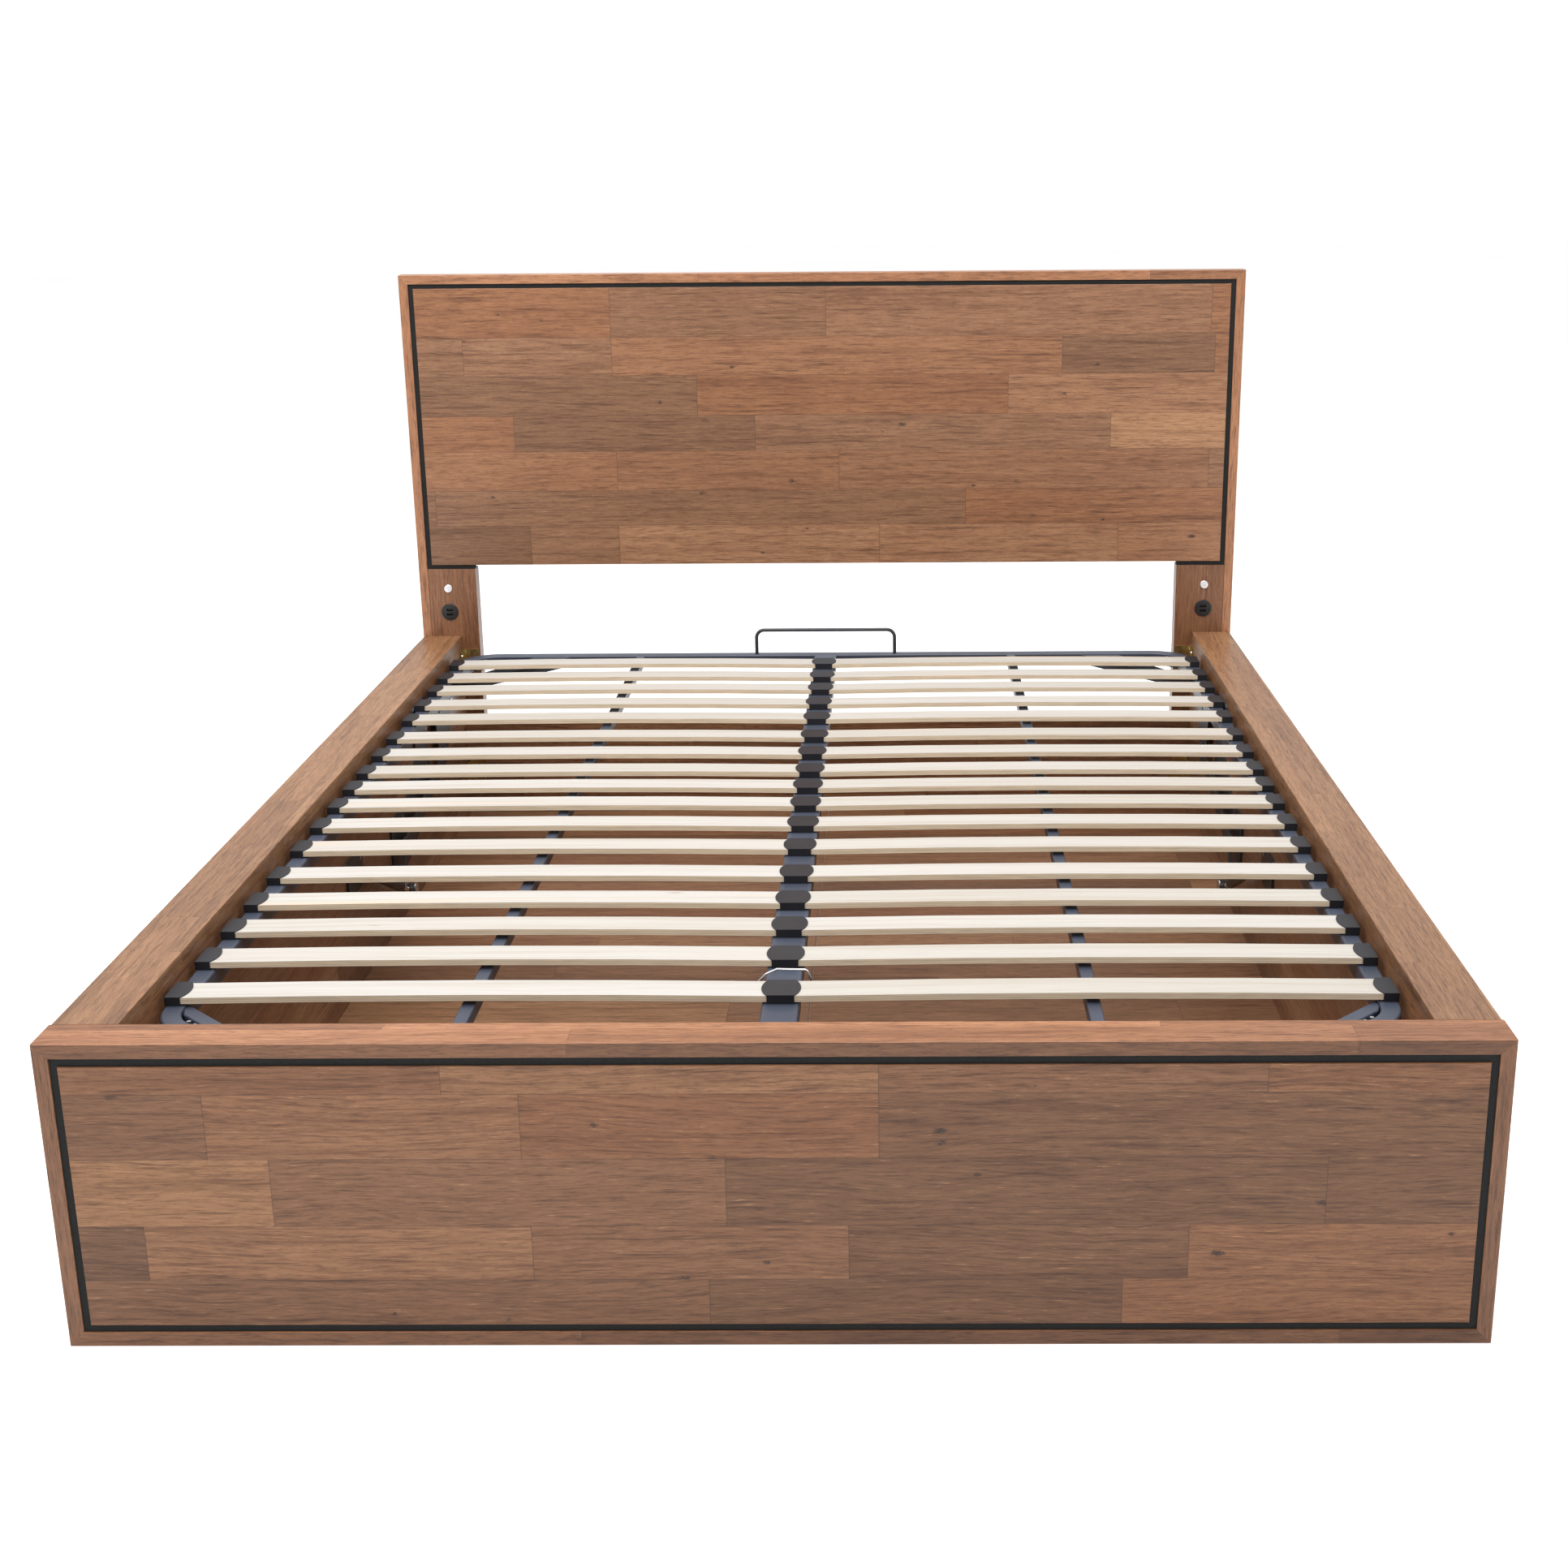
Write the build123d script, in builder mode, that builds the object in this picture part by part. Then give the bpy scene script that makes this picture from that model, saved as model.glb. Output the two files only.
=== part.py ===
from build123d import *
import os
from math import sin, cos, tan, radians, degrees, atan2, hypot, pi

# Gas lift storage bed, queen size. Millimetres, +Z up, +Y towards the headboard.
# Origin: centre of the bounding box, on the floor.

# ---------------------------------------------------------------- main sizes
BED_W = 1690.0          # footboard and headboard width
RAIL_OUT = 843.0        # outer face of each side rail from the centre line
RAIL_IN = 765.0         # inner face of each side rail from the centre line
FOOT_T = 60.0           # footboard thickness, front to back
HEAD_T = 40.0           # headboard thickness, front to back
HEAD_FACE = 2105.0      # footboard front face to headboard front face
LEN = HEAD_FACE + HEAD_T
RAIL_H = 390.0          # top of rails and footboard
HEAD_H = 1125.0         # top of headboard
BOARD = 18.0            # frame board thickness
REVEAL = 10.0           # width of the black line
LEG_IN = 728.0          # inner edge of each headboard leg
LEG_T = 36.0
LEG_TOP = 531.5
PANEL_BOT = 540.0       # lower edge of the headboard panel

# lifting platform
TUBE = 25.0
TUBE_TOP = 359.0
TUBE_BOT = TUBE_TOP - TUBE
PLAT_X = 755.0          # outer face of the side tubes
PLAT_Y0, PLAT_Y1 = 98.0, 2072.0
CORNER_R = 82.0         # outer bend radius
RAIL_C_W = 46.0         # centre rail width
SLAT_W, SLAT_T, SLAT_BOW = 48.0, 8.0, 3.0
SLAT_Z0 = 361.0         # underside of the slat ends
CAP_TOP = 370.5
SLAT_Y = [212.0, 330.0, 438.0, 542.0, 653.0, 774.0, 885.0, 989.0, 1086.0,
          1178.0, 1284.0, 1393.0, 1516.0, 1623.0, 1733.0, 1834.0, 1944.0]

# lift linkage, side view (distance from the footboard face, height)
A0 = (1660.0, 317.0)    # rear arm, pivot on the base plate
ARM_A, ANG_A = 220.0, 0.5
B0 = (1421.0, 150.0)    # front arm, pivot on the base plate
ARM_B, ANG_B = 382.0, 10.5
A1 = (A0[0] + ARM_A * cos(radians(ANG_A)), A0[1] + ARM_A * sin(radians(ANG_A)))
B1 = (B0[0] + ARM_B * cos(radians(ANG_B)), B0[1] + ARM_B * sin(radians(ANG_B)))
CRANK_R, CRANK_ANG = 75.0, -118.0
S0 = (1120.0, 205.0)    # gas strut, fixed-end pin on the rail
S1 = (B0[0] + CRANK_R * cos(radians(CRANK_ANG)), B0[1] + CRANK_R * sin(radians(CRANK_ANG)))
STRUT_LEN, STRUT_ANG = 293.411, -25.187   # closed length and slope of the strut
PIN_R = 6.0
PLATE_X = 761.0         # inner face of the base plates (they lie on the rails)
ARM_X0, ARM_X1 = 756.0, 760.0
BRK_X0, BRK_X1 = 751.0, 755.0
FARM_X0, FARM_X1 = 746.0, 750.0    # front arms, on the inner side of the brackets
STRUT_X = 735.0
STRUT_R = 10.0
ROD_R = 5.0

YO = -LEN / 2.0


def Y(v):
    """Distance from the footboard's front face to the model's Y."""
    return v + YO


os.makedirs("parts", exist_ok=True)


def save(bp, label):
    bp.part.label = label
    export_step(bp.part, "parts/" + label + ".step")


def block(x0, x1, y0, y1, z0, z1):
    """Rectangular block between two corners; y counts from the footboard's front face."""
    with Locations(((x0 + x1) / 2, Y((y0 + y1) / 2), (z0 + z1) / 2)):
        Box(x1 - x0, y1 - y0, z1 - z0)


def cut_block(x0, x1, y0, y1, z0, z1):
    with Locations(((x0 + x1) / 2, Y((y0 + y1) / 2), (z0 + z1) / 2)):
        Box(x1 - x0, y1 - y0, z1 - z0, mode=Mode.SUBTRACT)


def x_plane(x, y, z):
    """Plane facing +X with its local x along +Y and its local y along +Z."""
    return Plane(origin=(x, Y(y), z), x_dir=(0, 1, 0), z_dir=(1, 0, 0))


def front_plane(x, y, z):
    """Plane facing -Y (towards the foot end), local x along +X, local y along +Z."""
    return Plane(origin=(x, Y(y), z), x_dir=(1, 0, 0), z_dir=(0, -1, 0))


W2 = BED_W / 2
IN2 = W2 - BOARD
EDGE_R = 1.2

# ================================================================ headboard
HF = HEAD_FACE
HB = HEAD_FACE + HEAD_T

with BuildPart() as headboard_panel:
    block(-IN2 + REVEAL, IN2 - REVEAL, HF, HF + 18, PANEL_BOT, HEAD_H - BOARD - REVEAL + 1.5)
    fillet(headboard_panel.faces().sort_by(Axis.Y)[0].edges(), 0.8)
save(headboard_panel, "headboard_panel")

with BuildPart() as headboard_top_board:
    with BuildSketch(front_plane(0, HF, 0)):
        with BuildLine():
            Polyline((-W2, HEAD_H), (W2, HEAD_H), (IN2, HEAD_H - BOARD), (-IN2, HEAD_H - BOARD), close=True)
        make_face()
    extrude(amount=-HEAD_T)
    fillet(headboard_top_board.edges().filter_by(Axis.X), EDGE_R)
save(headboard_top_board, "headboard_top_board")

for side, name in ((-1, "headboard_stile_left"), (1, "headboard_stile_right")):
    with BuildPart() as stile:
        with BuildSketch(front_plane(0, HF, 0)):
            with BuildLine():
                Polyline((side * W2, 0), (side * W2, HEAD_H), (side * IN2, HEAD_H - BOARD), (side * IN2, 0), close=True)
            make_face()
        extrude(amount=-HEAD_T)
        fillet(stile.edges().filter_by(Axis.Z), EDGE_R)
    save(stile, name)

# black reveal: four slim strips set back from the face, and the ledge strips over the legs
with BuildPart() as headboard_reveal:
    block(-IN2, IN2, HF + 3, HF + 18, HEAD_H - BOARD - REVEAL + 1.5, HEAD_H - BOARD)
    block(-IN2, -IN2 + REVEAL, HF + 3, HF + 18, LEG_TOP, HEAD_H - BOARD - REVEAL + 1.5)
    block(IN2 - REVEAL, IN2, HF + 3, HF + 18, LEG_TOP, HEAD_H - BOARD - REVEAL + 1.5)
    block(-IN2 + REVEAL, -LEG_IN, HF + 3, HF + 18, LEG_TOP, PANEL_BOT)
    block(LEG_IN, IN2 - REVEAL, HF + 3, HF + 18, LEG_TOP, PANEL_BOT)
save(headboard_reveal, "headboard_reveal")

BOLT_X, BOLT_Z = 786.4, 490.5
USB_X, USB_Z = 786.0, 441.0
for side, name in ((-1, "headboard_leg_left"), (1, "headboard_leg_right")):
    with BuildPart() as leg:
        xs = sorted((side * LEG_IN, side * IN2))
        block(xs[0], xs[1], HF + 1, HF + 1 + LEG_T, 0, LEG_TOP)
        fillet(leg.faces().sort_by(Axis.Y)[0].edges().filter_by(Axis.Z), 1.0)
        with Locations(front_plane(side * BOLT_X, HF + 1, BOLT_Z)):
            Hole(4.2)
        with Locations(front_plane(side * USB_X, HF + 1, USB_Z)):
            Hole(14.5)
    save(leg, name)

with BuildPart() as headboard_core_battens:
    for z0 in (PANEL_BOT + 6, 800.0, 1040.0):
        block(-IN2 + 2, IN2 - 2, HF + 18, HB - 9, z0, z0 + 45)
    for x0 in (-IN2 + 2, -22.5, IN2 - 47):
        block(x0, x0 + 45, HF + 18, HB - 9, PANEL_BOT + 51, 800)
        block(x0, x0 + 45, HF + 18, HB - 9, 845, 1040)
save(headboard_core_battens, "headboard_core_battens")

with BuildPart() as headboard_back_panel:
    block(-IN2, IN2, HB - 9, HB - 0.5, PANEL_BOT, HEAD_H - BOARD)
save(headboard_back_panel, "headboard_back_panel")

# pan-head bolt with a cross recess, washer-flanged head
with BuildPart() as headboard_bolts:
    for side in (-1, 1):
        with BuildSketch(front_plane(side * BOLT_X, HF + 1, BOLT_Z)):
            Circle(8.6)
        extrude(amount=2.2)
        with BuildSketch(front_plane(side * BOLT_X, HF + 1, BOLT_Z)):
            Circle(4.0)
        extrude(amount=-(LEG_T - 1))
    fillet(headboard_bolts.faces().sort_by(Axis.Y)[:2].edges(), 1.4)
    for side in (-1, 1):
        with BuildSketch(front_plane(side * BOLT_X, HF - 1.2, BOLT_Z)):
            Rectangle(7.5, 1.6)
            Rectangle(1.6, 7.5)
        extrude(amount=-1.6, mode=Mode.SUBTRACT)
save(headboard_bolts, "headboard_bolts")

# round twin-port sockets: bezel, barrel, two port slots
with BuildPart() as usb_sockets:
    for side in (-1, 1):
        with BuildSketch(front_plane(side * USB_X, HF + 1, USB_Z)):
            Circle(17.5)
        extrude(amount=2.5)
        with BuildSketch(front_plane(side * USB_X, HF + 1, USB_Z)):
            Circle(14.4)
        extrude(amount=-30)
    fillet(usb_sockets.faces().sort_by(Axis.Y)[:2].edges(), 1.2)
    for side in (-1, 1):
        with BuildSketch(front_plane(side * USB_X, HF - 1.5, USB_Z)):
            Circle(13.2)
        extrude(amount=-0.8, mode=Mode.SUBTRACT)
        with BuildSketch(front_plane(side * USB_X, HF - 0.7, USB_Z)):
            with Locations((0, 4.6), (0, -4.6)):
                Rectangle(13.0, 5.2)
        extrude(amount=-12, mode=Mode.SUBTRACT)
    for side in (-1, 1):
        for dz in (4.6, -4.6):
            block(side * USB_X - 5.6, side * USB_X + 5.6, HF + 2.5, HF + 11.5, USB_Z + dz - 0.6, USB_Z + dz + 1.2)
save(usb_sockets, "usb_sockets")

# ================================================================ footboard
FZ0, FZ1 = 0.0, RAIL_H
with BuildPart() as footboard_panel:
    block(-IN2 + REVEAL, IN2 - REVEAL, 0, 18, FZ0 + BOARD + REVEAL, FZ1 - BOARD - REVEAL)
    fillet(footboard_panel.faces().sort_by(Axis.Y)[0].edges(), 0.8)
save(footboard_panel, "footboard_panel")

for z0, z1, name in ((FZ1, FZ1 - BOARD, "footboard_top_board"), (FZ0, FZ0 + BOARD, "footboard_bottom_board")):
    with BuildPart() as fb:
        with BuildSketch(front_plane(0, 0, 0)):
            with BuildLine():
                Polyline((-W2, z0), (W2, z0), (IN2, z1), (-IN2, z1), close=True)
            make_face()
        extrude(amount=-FOOT_T)
        fillet(fb.edges().filter_by(Axis.X), EDGE_R)
    save(fb, name)

for side, name in ((-1, "footboard_end_left"), (1, "footboard_end_right")):
    with BuildPart() as fe:
        with BuildSketch(front_plane(0, 0, 0)):
            with BuildLine():
                Polyline((side * W2, FZ0), (side * W2, FZ1), (side * IN2, FZ1 - BOARD), (side * IN2, FZ0 + BOARD), close=True)
            make_face()
        extrude(amount=-FOOT_T)
        fillet(fe.edges().filter_by(Axis.Z), EDGE_R)
    save(fe, name)

with BuildPart() as footboard_reveal:
    block(-IN2, IN2, 3, 18, FZ1 - BOARD - REVEAL, FZ1 - BOARD)
    block(-IN2, IN2, 3, 18, FZ0 + BOARD, FZ0 + BOARD + REVEAL)
    block(-IN2, -IN2 + REVEAL, 3, 18, FZ0 + BOARD + REVEAL, FZ1 - BOARD - REVEAL)
    block(IN2 - REVEAL, IN2, 3, 18, FZ0 + BOARD + REVEAL, FZ1 - BOARD - REVEAL)
save(footboard_reveal, "footboard_reveal")

with BuildPart() as footboard_core_battens:
    for z0 in (22.0, 172.0, 322.0):
        block(-IN2 + 2, IN2 - 2, 18, FOOT_T - 12, z0, z0 + 45)
    for x0 in (-IN2 + 2, -422.5, -22.5, 377.5, IN2 - 47):
        block(x0, x0 + 45, 18, FOOT_T - 12, 67, 172)
        block(x0, x0 + 45, 18, FOOT_T - 12, 217, 322)
save(footboard_core_battens, "footboard_core_battens")

with BuildPart() as footboard_back_panel:
    block(-IN2, IN2, FOOT_T - 12, FOOT_T, FZ0 + BOARD, FZ1 - BOARD)
save(footboard_back_panel, "footboard_back_panel")

# ================================================================ side rails, box section
R0, R1 = FOOT_T, HEAD_FACE
RZ0 = 4.0
for side, s in ((-1, "left"), (1, "right")):
    xo, xi = side * RAIL_OUT, side * RAIL_IN
    a, b = sorted((xo, xi))
    with BuildPart() as rail_top:
        block(a, b, R0, R1, RAIL_H - BOARD, RAIL_H)
        fillet(rail_top.edges().filter_by(Axis.Y).group_by(Axis.Z)[-1], EDGE_R)
    save(rail_top, "side_rail_%s_top" % s)
    a, b = sorted((xo, xo - side * BOARD))
    with BuildPart() as rail_outer:
        block(a, b, R0, R1, RZ0, RAIL_H - BOARD)
    save(rail_outer, "side_rail_%s_outer" % s)
    a, b = sorted((xi, xi + side * BOARD))
    with BuildPart() as rail_inner:
        block(a, b, R0, R1, 9.5, RAIL_H - BOARD)
    save(rail_inner, "side_rail_%s_inner" % s)

with BuildPart() as side_rail_battens:
    for side in (-1, 1):
        a, b = sorted((side * (RAIL_IN + BOARD), side * (RAIL_OUT - BOARD)))
        block(a, b, R0 + 2, R1 - 2, 12, 40)
        block(a, b, R0 + 2, R1 - 2, 342, 372)
save(side_rail_battens, "side_rail_battens")

# zinc-plated corner angles joining rails to the headboard legs and to the footboard
with BuildPart() as rail_brackets:
    for side in (-1, 1):
        for yf, d in ((HEAD_FACE, -1), (FOOT_T, 1)):
            for zb, zt in ((300.0, 361.0), (60.0, 120.0)):
                if d == -1:
                    xa, xb = sorted((side * (RAIL_IN - 34), side * RAIL_IN))
                    yw = HEAD_FACE + 1
                else:
                    xa, xb = sorted((side * (RAIL_IN - 34), side * RAIL_IN))
                    yw = FOOT_T
                ya, yb = sorted((yw, yw + d * 2.5))
                block(xa, xb, ya, yb, zb, zt)
                xa2, xb2 = sorted((side * (RAIL_IN - 2.5), side * RAIL_IN))
                ya2, yb2 = sorted((yw, yw + d * 30))
                block(xa2, xb2, ya2, yb2, zb, zt)
save(rail_brackets, "rail_brackets")

with BuildPart() as rail_bracket_screws:
    for side in (-1, 1):
        for yw, d in ((HEAD_FACE + 1, -1), (FOOT_T, 1)):
            for zb, zt in ((300.0, 361.0), (60.0, 120.0)):
                for z in (zb + 15, zt - 12):
                    pl = Plane(origin=(side * (RAIL_IN - 2.5), Y(yw + d * 20), z), x_dir=(0, 1, 0), z_dir=(-side, 0, 0))
                    with BuildSketch(pl):
                        Circle(4.5)
                    extrude(amount=2.2)
save(rail_bracket_screws, "rail_bracket_screws")

# ================================================================ storage base
with BuildPart() as head_cross_board:
    block(-RAIL_IN, RAIL_IN, HEAD_FACE - 18, HEAD_FACE, 9.5, 205)
    fillet(head_cross_board.edges().filter_by(Axis.X).group_by(Axis.Z)[-1], EDGE_R)
    # clear of the corner angles
    for side in (-1, 1):
        a, b = sorted((side * (RAIL_IN - 36), side * (RAIL_IN + 1)))
        cut_block(a, b, HEAD_FACE - 40, HEAD_FACE + 2, 50, 130)
save(head_cross_board, "head_cross_board")

for side, name in ((-1, "storage_floor_left"), (1, "storage_floor_right")):
    with BuildPart() as floor_sheet:
        a, b = sorted((side * 0.6, side * (RAIL_IN + BOARD - 1)))
        block(a, b, FOOT_T + 1, HEAD_FACE - 0.5, 0, 9)
    save(floor_sheet, name)

# ================================================================ lifting platform
R_MID = CORNER_R - TUBE / 2


with BuildPart() as platform_side_tubes:
    for side in (-1, 1):
        with BuildSketch(Plane(origin=(side * (PLAT_X - TUBE / 2), Y(PLAT_Y0 + CORNER_R), TUBE_TOP - TUBE / 2), x_dir=(1, 0, 0), z_dir=(0, 1, 0))):
            RectangleRounded(TUBE, TUBE, 3.2)
        extrude(amount=PLAT_Y1 - PLAT_Y0 - 2 * CORNER_R)
save(platform_side_tubes, "platform_side_tubes")

with BuildPart() as platform_end_tubes:
    for yc in (PLAT_Y1 - TUBE / 2, PLAT_Y0 + TUBE / 2):
        with BuildSketch(Plane(origin=(-(PLAT_X - CORNER_R), Y(yc), TUBE_TOP - TUBE / 2), x_dir=(0, 1, 0), z_dir=(1, 0, 0))):
            RectangleRounded(TUBE, TUBE, 3.2)
        extrude(amount=2 * (PLAT_X - CORNER_R))
save(platform_end_tubes, "platform_end_tubes")

with BuildPart() as platform_corner_bends:
    for sx in (-1, 1):
        for sy in (-1, 1):
            cx = sx * (PLAT_X - CORNER_R)
            cyv = (PLAT_Y1 - CORNER_R) if sy > 0 else (PLAT_Y0 + CORNER_R)
            ax = Axis((cx, Y(cyv), 0), (0, 0, 1))
            with BuildSketch(Plane(origin=(cx + sx * R_MID, Y(cyv), TUBE_TOP - TUBE / 2), x_dir=(1, 0, 0), z_dir=(0, -1, 0))):
                RectangleRounded(TUBE, TUBE, 3.2)
            revolve(axis=ax, revolution_arc=90 if sx * sy > 0 else -90)
save(platform_corner_bends, "platform_corner_bends")

with BuildPart() as platform_centre_rail:
    with BuildSketch(Plane(origin=(0, Y(PLAT_Y0 + TUBE), TUBE_TOP - TUBE / 2), x_dir=(1, 0, 0), z_dir=(0, 1, 0))):
        RectangleRounded(RAIL_C_W, TUBE, 3.0)
    extrude(amount=PLAT_Y1 - PLAT_Y0 - 2 * TUBE)
save(platform_centre_rail, "platform_centre_rail")

with BuildPart() as platform_support_bars:
    for sx in (-1, 1):
        with BuildSketch(Plane(origin=(sx * 383.5, Y(PLAT_Y0 + TUBE), 349.0), x_dir=(1, 0, 0), z_dir=(0, 1, 0))):
            RectangleRounded(17.5, 18.0, 2.0)
        extrude(amount=PLAT_Y1 - PLAT_Y0 - 2 * TUBE)
save(platform_support_bars, "platform_support_bars")

# short diagonal braces across the foot corners, welded between the tubes
xi = PLAT_X - TUBE


def corner_points(sx, yi, sy, pts):
    """Corner sx, sy: each point is (distance in from the side tube, distance in from the end tube)."""
    return [(sx * (xi - a), Y(yi - sy * b)) for a, b in pts]


YI_HEAD, YI_FOOT = PLAT_Y1 - TUBE, PLAT_Y0 + TUBE
with BuildPart() as corner_braces:
    for sx in (-1, 1):
        with BuildSketch(Plane.XY.offset(337)):
            with BuildLine():
                Polyline(*corner_points(sx, YI_FOOT, -1, [(0, 75), (75, 0), (57, 0), (43, 4), (4, 43), (0, 57)]), close=True)
            make_face()
        extrude(amount=20)
    chamfer(corner_braces.faces().sort_by(Axis.Z)[-2:].edges(), 1.2)
save(corner_braces, "corner_braces")

# wider dark braces across the head corners
with BuildPart() as head_braces:
    for sx in (-1, 1):
        with BuildSketch(Plane.XY.offset(338)):
            with BuildLine():
                Polyline(*corner_points(sx, YI_HEAD, 1, [(0, 202), (0, 240), (202, 0), (125, 0)]), close=True)
            make_face()
        extrude(amount=18)
save(head_braces, "head_braces")

# dark corner blocks between the bent tubes and the braces, bolted
with BuildPart() as corner_brackets:
    for sx in (-1, 1):
        for yi, sy in ((YI_HEAD, 1), (YI_FOOT, -1)):
            with BuildSketch(Plane.XY.offset(336)):
                with BuildLine():
                    Polyline(*corner_points(sx, yi, sy, [(41, 6), (6, 41), (10, 28), (17.5, 17.5), (28, 10)]), close=True)
                make_face()
            extrude(amount=15)
    fillet(corner_brackets.faces().sort_by(Axis.Z)[-4:].edges(), 1.5)
save(corner_brackets, "corner_brackets")

with BuildPart() as corner_bracket_bolts:
    for sx in (-1, 1):
        for yi, sy in ((YI_HEAD, 1), (YI_FOOT, -1)):
            for u, v in ((26, 16), (16, 26)):
                with BuildSketch(Plane.XY.offset(351)):
                    with Locations((sx * (xi - u), Y(yi - sy * v))):
                        Circle(3.3)
                extrude(amount=0.9)
                with BuildSketch(Plane.XY.offset(351.9)):
                    with Locations((sx * (xi - u), Y(yi - sy * v))):
                        RegularPolygon(2.9, 6)
                extrude(amount=3.4)
save(corner_bracket_bolts, "corner_bracket_bolts")

# bowed slats, two banks
SLAT_X0, SLAT_X1 = 13.0, 751.5
for side, name in ((-1, "slats_left"), (1, "slats_right")):
    with BuildPart() as slats:
        for yv in SLAT_Y:
            xm = side * (SLAT_X0 + SLAT_X1) / 2
            pl = Plane(origin=(0, Y(yv - SLAT_W / 2), 0), x_dir=(1, 0, 0), z_dir=(0, -1, 0))
            with BuildSketch(pl):
                with BuildLine():
                    lo = ThreePointArc((side * SLAT_X0, SLAT_Z0), (xm, SLAT_Z0 + SLAT_BOW), (side * SLAT_X1, SLAT_Z0))
                    hi = ThreePointArc((side * SLAT_X0, SLAT_Z0 + SLAT_T), (xm, SLAT_Z0 + SLAT_T + SLAT_BOW), (side * SLAT_X1, SLAT_Z0 + SLAT_T))
                    Line((side * SLAT_X0, SLAT_Z0), (side * SLAT_X0, SLAT_Z0 + SLAT_T))
                    Line((side * SLAT_X1, SLAT_Z0), (side * SLAT_X1, SLAT_Z0 + SLAT_T))
                make_face()
            extrude(amount=-SLAT_W)
    save(slats, name)

# slat caps: a body on the tube with a pocket for the slat, and rounded lobes over and under it
CAP_L = 51.0
NECK = 736.5
LOBE = 7.0
for side, name in ((-1, "side_caps_left"), (1, "side_caps_right")):
    with BuildPart() as caps:
        for yv in SLAT_Y:
            with BuildSketch(Plane.XY.offset(TUBE_TOP)):
                with BuildLine():
                    Polyline((side * NECK, Y(yv - CAP_L / 2)), (side * 755.5, Y(yv - CAP_L / 2)), (side * 755.5, Y(yv + CAP_L / 2)), (side * NECK, Y(yv + CAP_L / 2)))
                    ThreePointArc((side * NECK, Y(yv + CAP_L / 2)), (side * (NECK - LOBE), Y(yv)), (side * NECK, Y(yv - CAP_L / 2)))
                make_face()
            extrude(amount=CAP_TOP - TUBE_TOP)
            a, b = sorted((side * 700.0, side * SLAT_X1))
            cut_block(a, b, yv - SLAT_W / 2, yv + SLAT_W / 2, SLAT_Z0 - 0.3, SLAT_Z0 + SLAT_T + 0.6)
            for d in (-1, 1):
                y0, y1 = sorted((yv + d * SLAT_W / 2, yv + d * (CAP_L / 2 + 2)))
                a, b = sorted((side * 700.0, side * NECK))
                cut_block(a, b, y0, y1, TUBE_TOP - 1, CAP_TOP + 1)
    save(caps, name)

with BuildPart() as centre_caps:
    NX = 17.0
    for yv in SLAT_Y:
        with BuildSketch(Plane.XY.offset(TUBE_TOP)):
            with BuildLine():
                Line((-NX, Y(yv - CAP_L / 2)), (NX, Y(yv - CAP_L / 2)))
                ThreePointArc((NX, Y(yv - CAP_L / 2)), (NX + 7.5, Y(yv)), (NX, Y(yv + CAP_L / 2)))
                Line((NX, Y(yv + CAP_L / 2)), (-NX, Y(yv + CAP_L / 2)))
                ThreePointArc((-NX, Y(yv + CAP_L / 2)), (-NX - 7.5, Y(yv)), (-NX, Y(yv - CAP_L / 2)))
            make_face()
        extrude(amount=CAP_TOP - TUBE_TOP)
        for s in (-1, 1):
            a, b = sorted((s * SLAT_X0, s * 60.0))
            cut_block(a, b, yv - SLAT_W / 2, yv + SLAT_W / 2, SLAT_Z0 - 0.3, SLAT_Z0 + SLAT_T + 0.6)
            for d in (-1, 1):
                y0, y1 = sorted((yv + d * SLAT_W / 2, yv + d * (CAP_L / 2 + 2)))
                a, b = sorted((s * NX, s * 60.0))
                cut_block(a, b, y0, y1, TUBE_TOP - 1, CAP_TOP + 1)
save(centre_caps, "centre_caps")

# wire mattress retainer on the head tube
RET_X, RET_Z, RET_R = 143.0, 409.0, 3.6
with BuildPart() as mattress_retainer:
    yc = PLAT_Y1 - TUBE / 2
    pl = front_plane(0, yc, 0)
    with BuildLine(pl) as ret_path:
        l1 = Line((-RET_X, TUBE_TOP - 0.0), (-RET_X, RET_Z - 16))
        l2 = RadiusArc((-RET_X, RET_Z - 16), (-RET_X + 16, RET_Z), 16)
        l3 = Line((-RET_X + 16, RET_Z), (RET_X - 16, RET_Z))
        l4 = RadiusArc((RET_X - 16, RET_Z), (RET_X, RET_Z - 16), 16)
        l5 = Line((RET_X, RET_Z - 16), (RET_X, TUBE_TOP - 0.0))
    with BuildSketch(Plane(origin=(-RET_X, Y(yc), TUBE_TOP), z_dir=(0, 0, 1))):
        Circle(RET_R)
    sweep(path=ret_path.wires()[0])
save(mattress_retainer, "mattress_retainer")

# bright wire pull loop across the centre rail near the foot
LOOP_Y = 262.0
with BuildPart() as pull_loop:
    pl = front_plane(0, LOOP_Y, 0)
    r = 1.5
    with BuildLine(pl) as loop_path:
        FilletPolyline((-43, 335), (-33, 356), (-22, 368), (-8, 374.5), (30, 373.5), (34.5, 362), (34.5, 335), radius=4.5)
    with BuildSketch(Plane(origin=(-43, Y(LOOP_Y), 335), x_dir=(0, 1, 0), z_dir=(10, 0, 21))):
        Circle(r)
    sweep(path=loop_path.wires()[0])
save(pull_loop, "pull_loop")

# ================================================================ lift mechanism
def side_plane(x, side):
    """Plane at |x| on one side of the bed; its local x runs along +Y, measured from the foot end."""
    return Plane(origin=(side * x, YO, 0), x_dir=(0, 1, 0), z_dir=(1, 0, 0))


def depth(side, x0, x1):
    """Extrusion from |x0| to |x1| on the plane made by side_plane(x0, side)."""
    return (x1 - x0) * side


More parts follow.
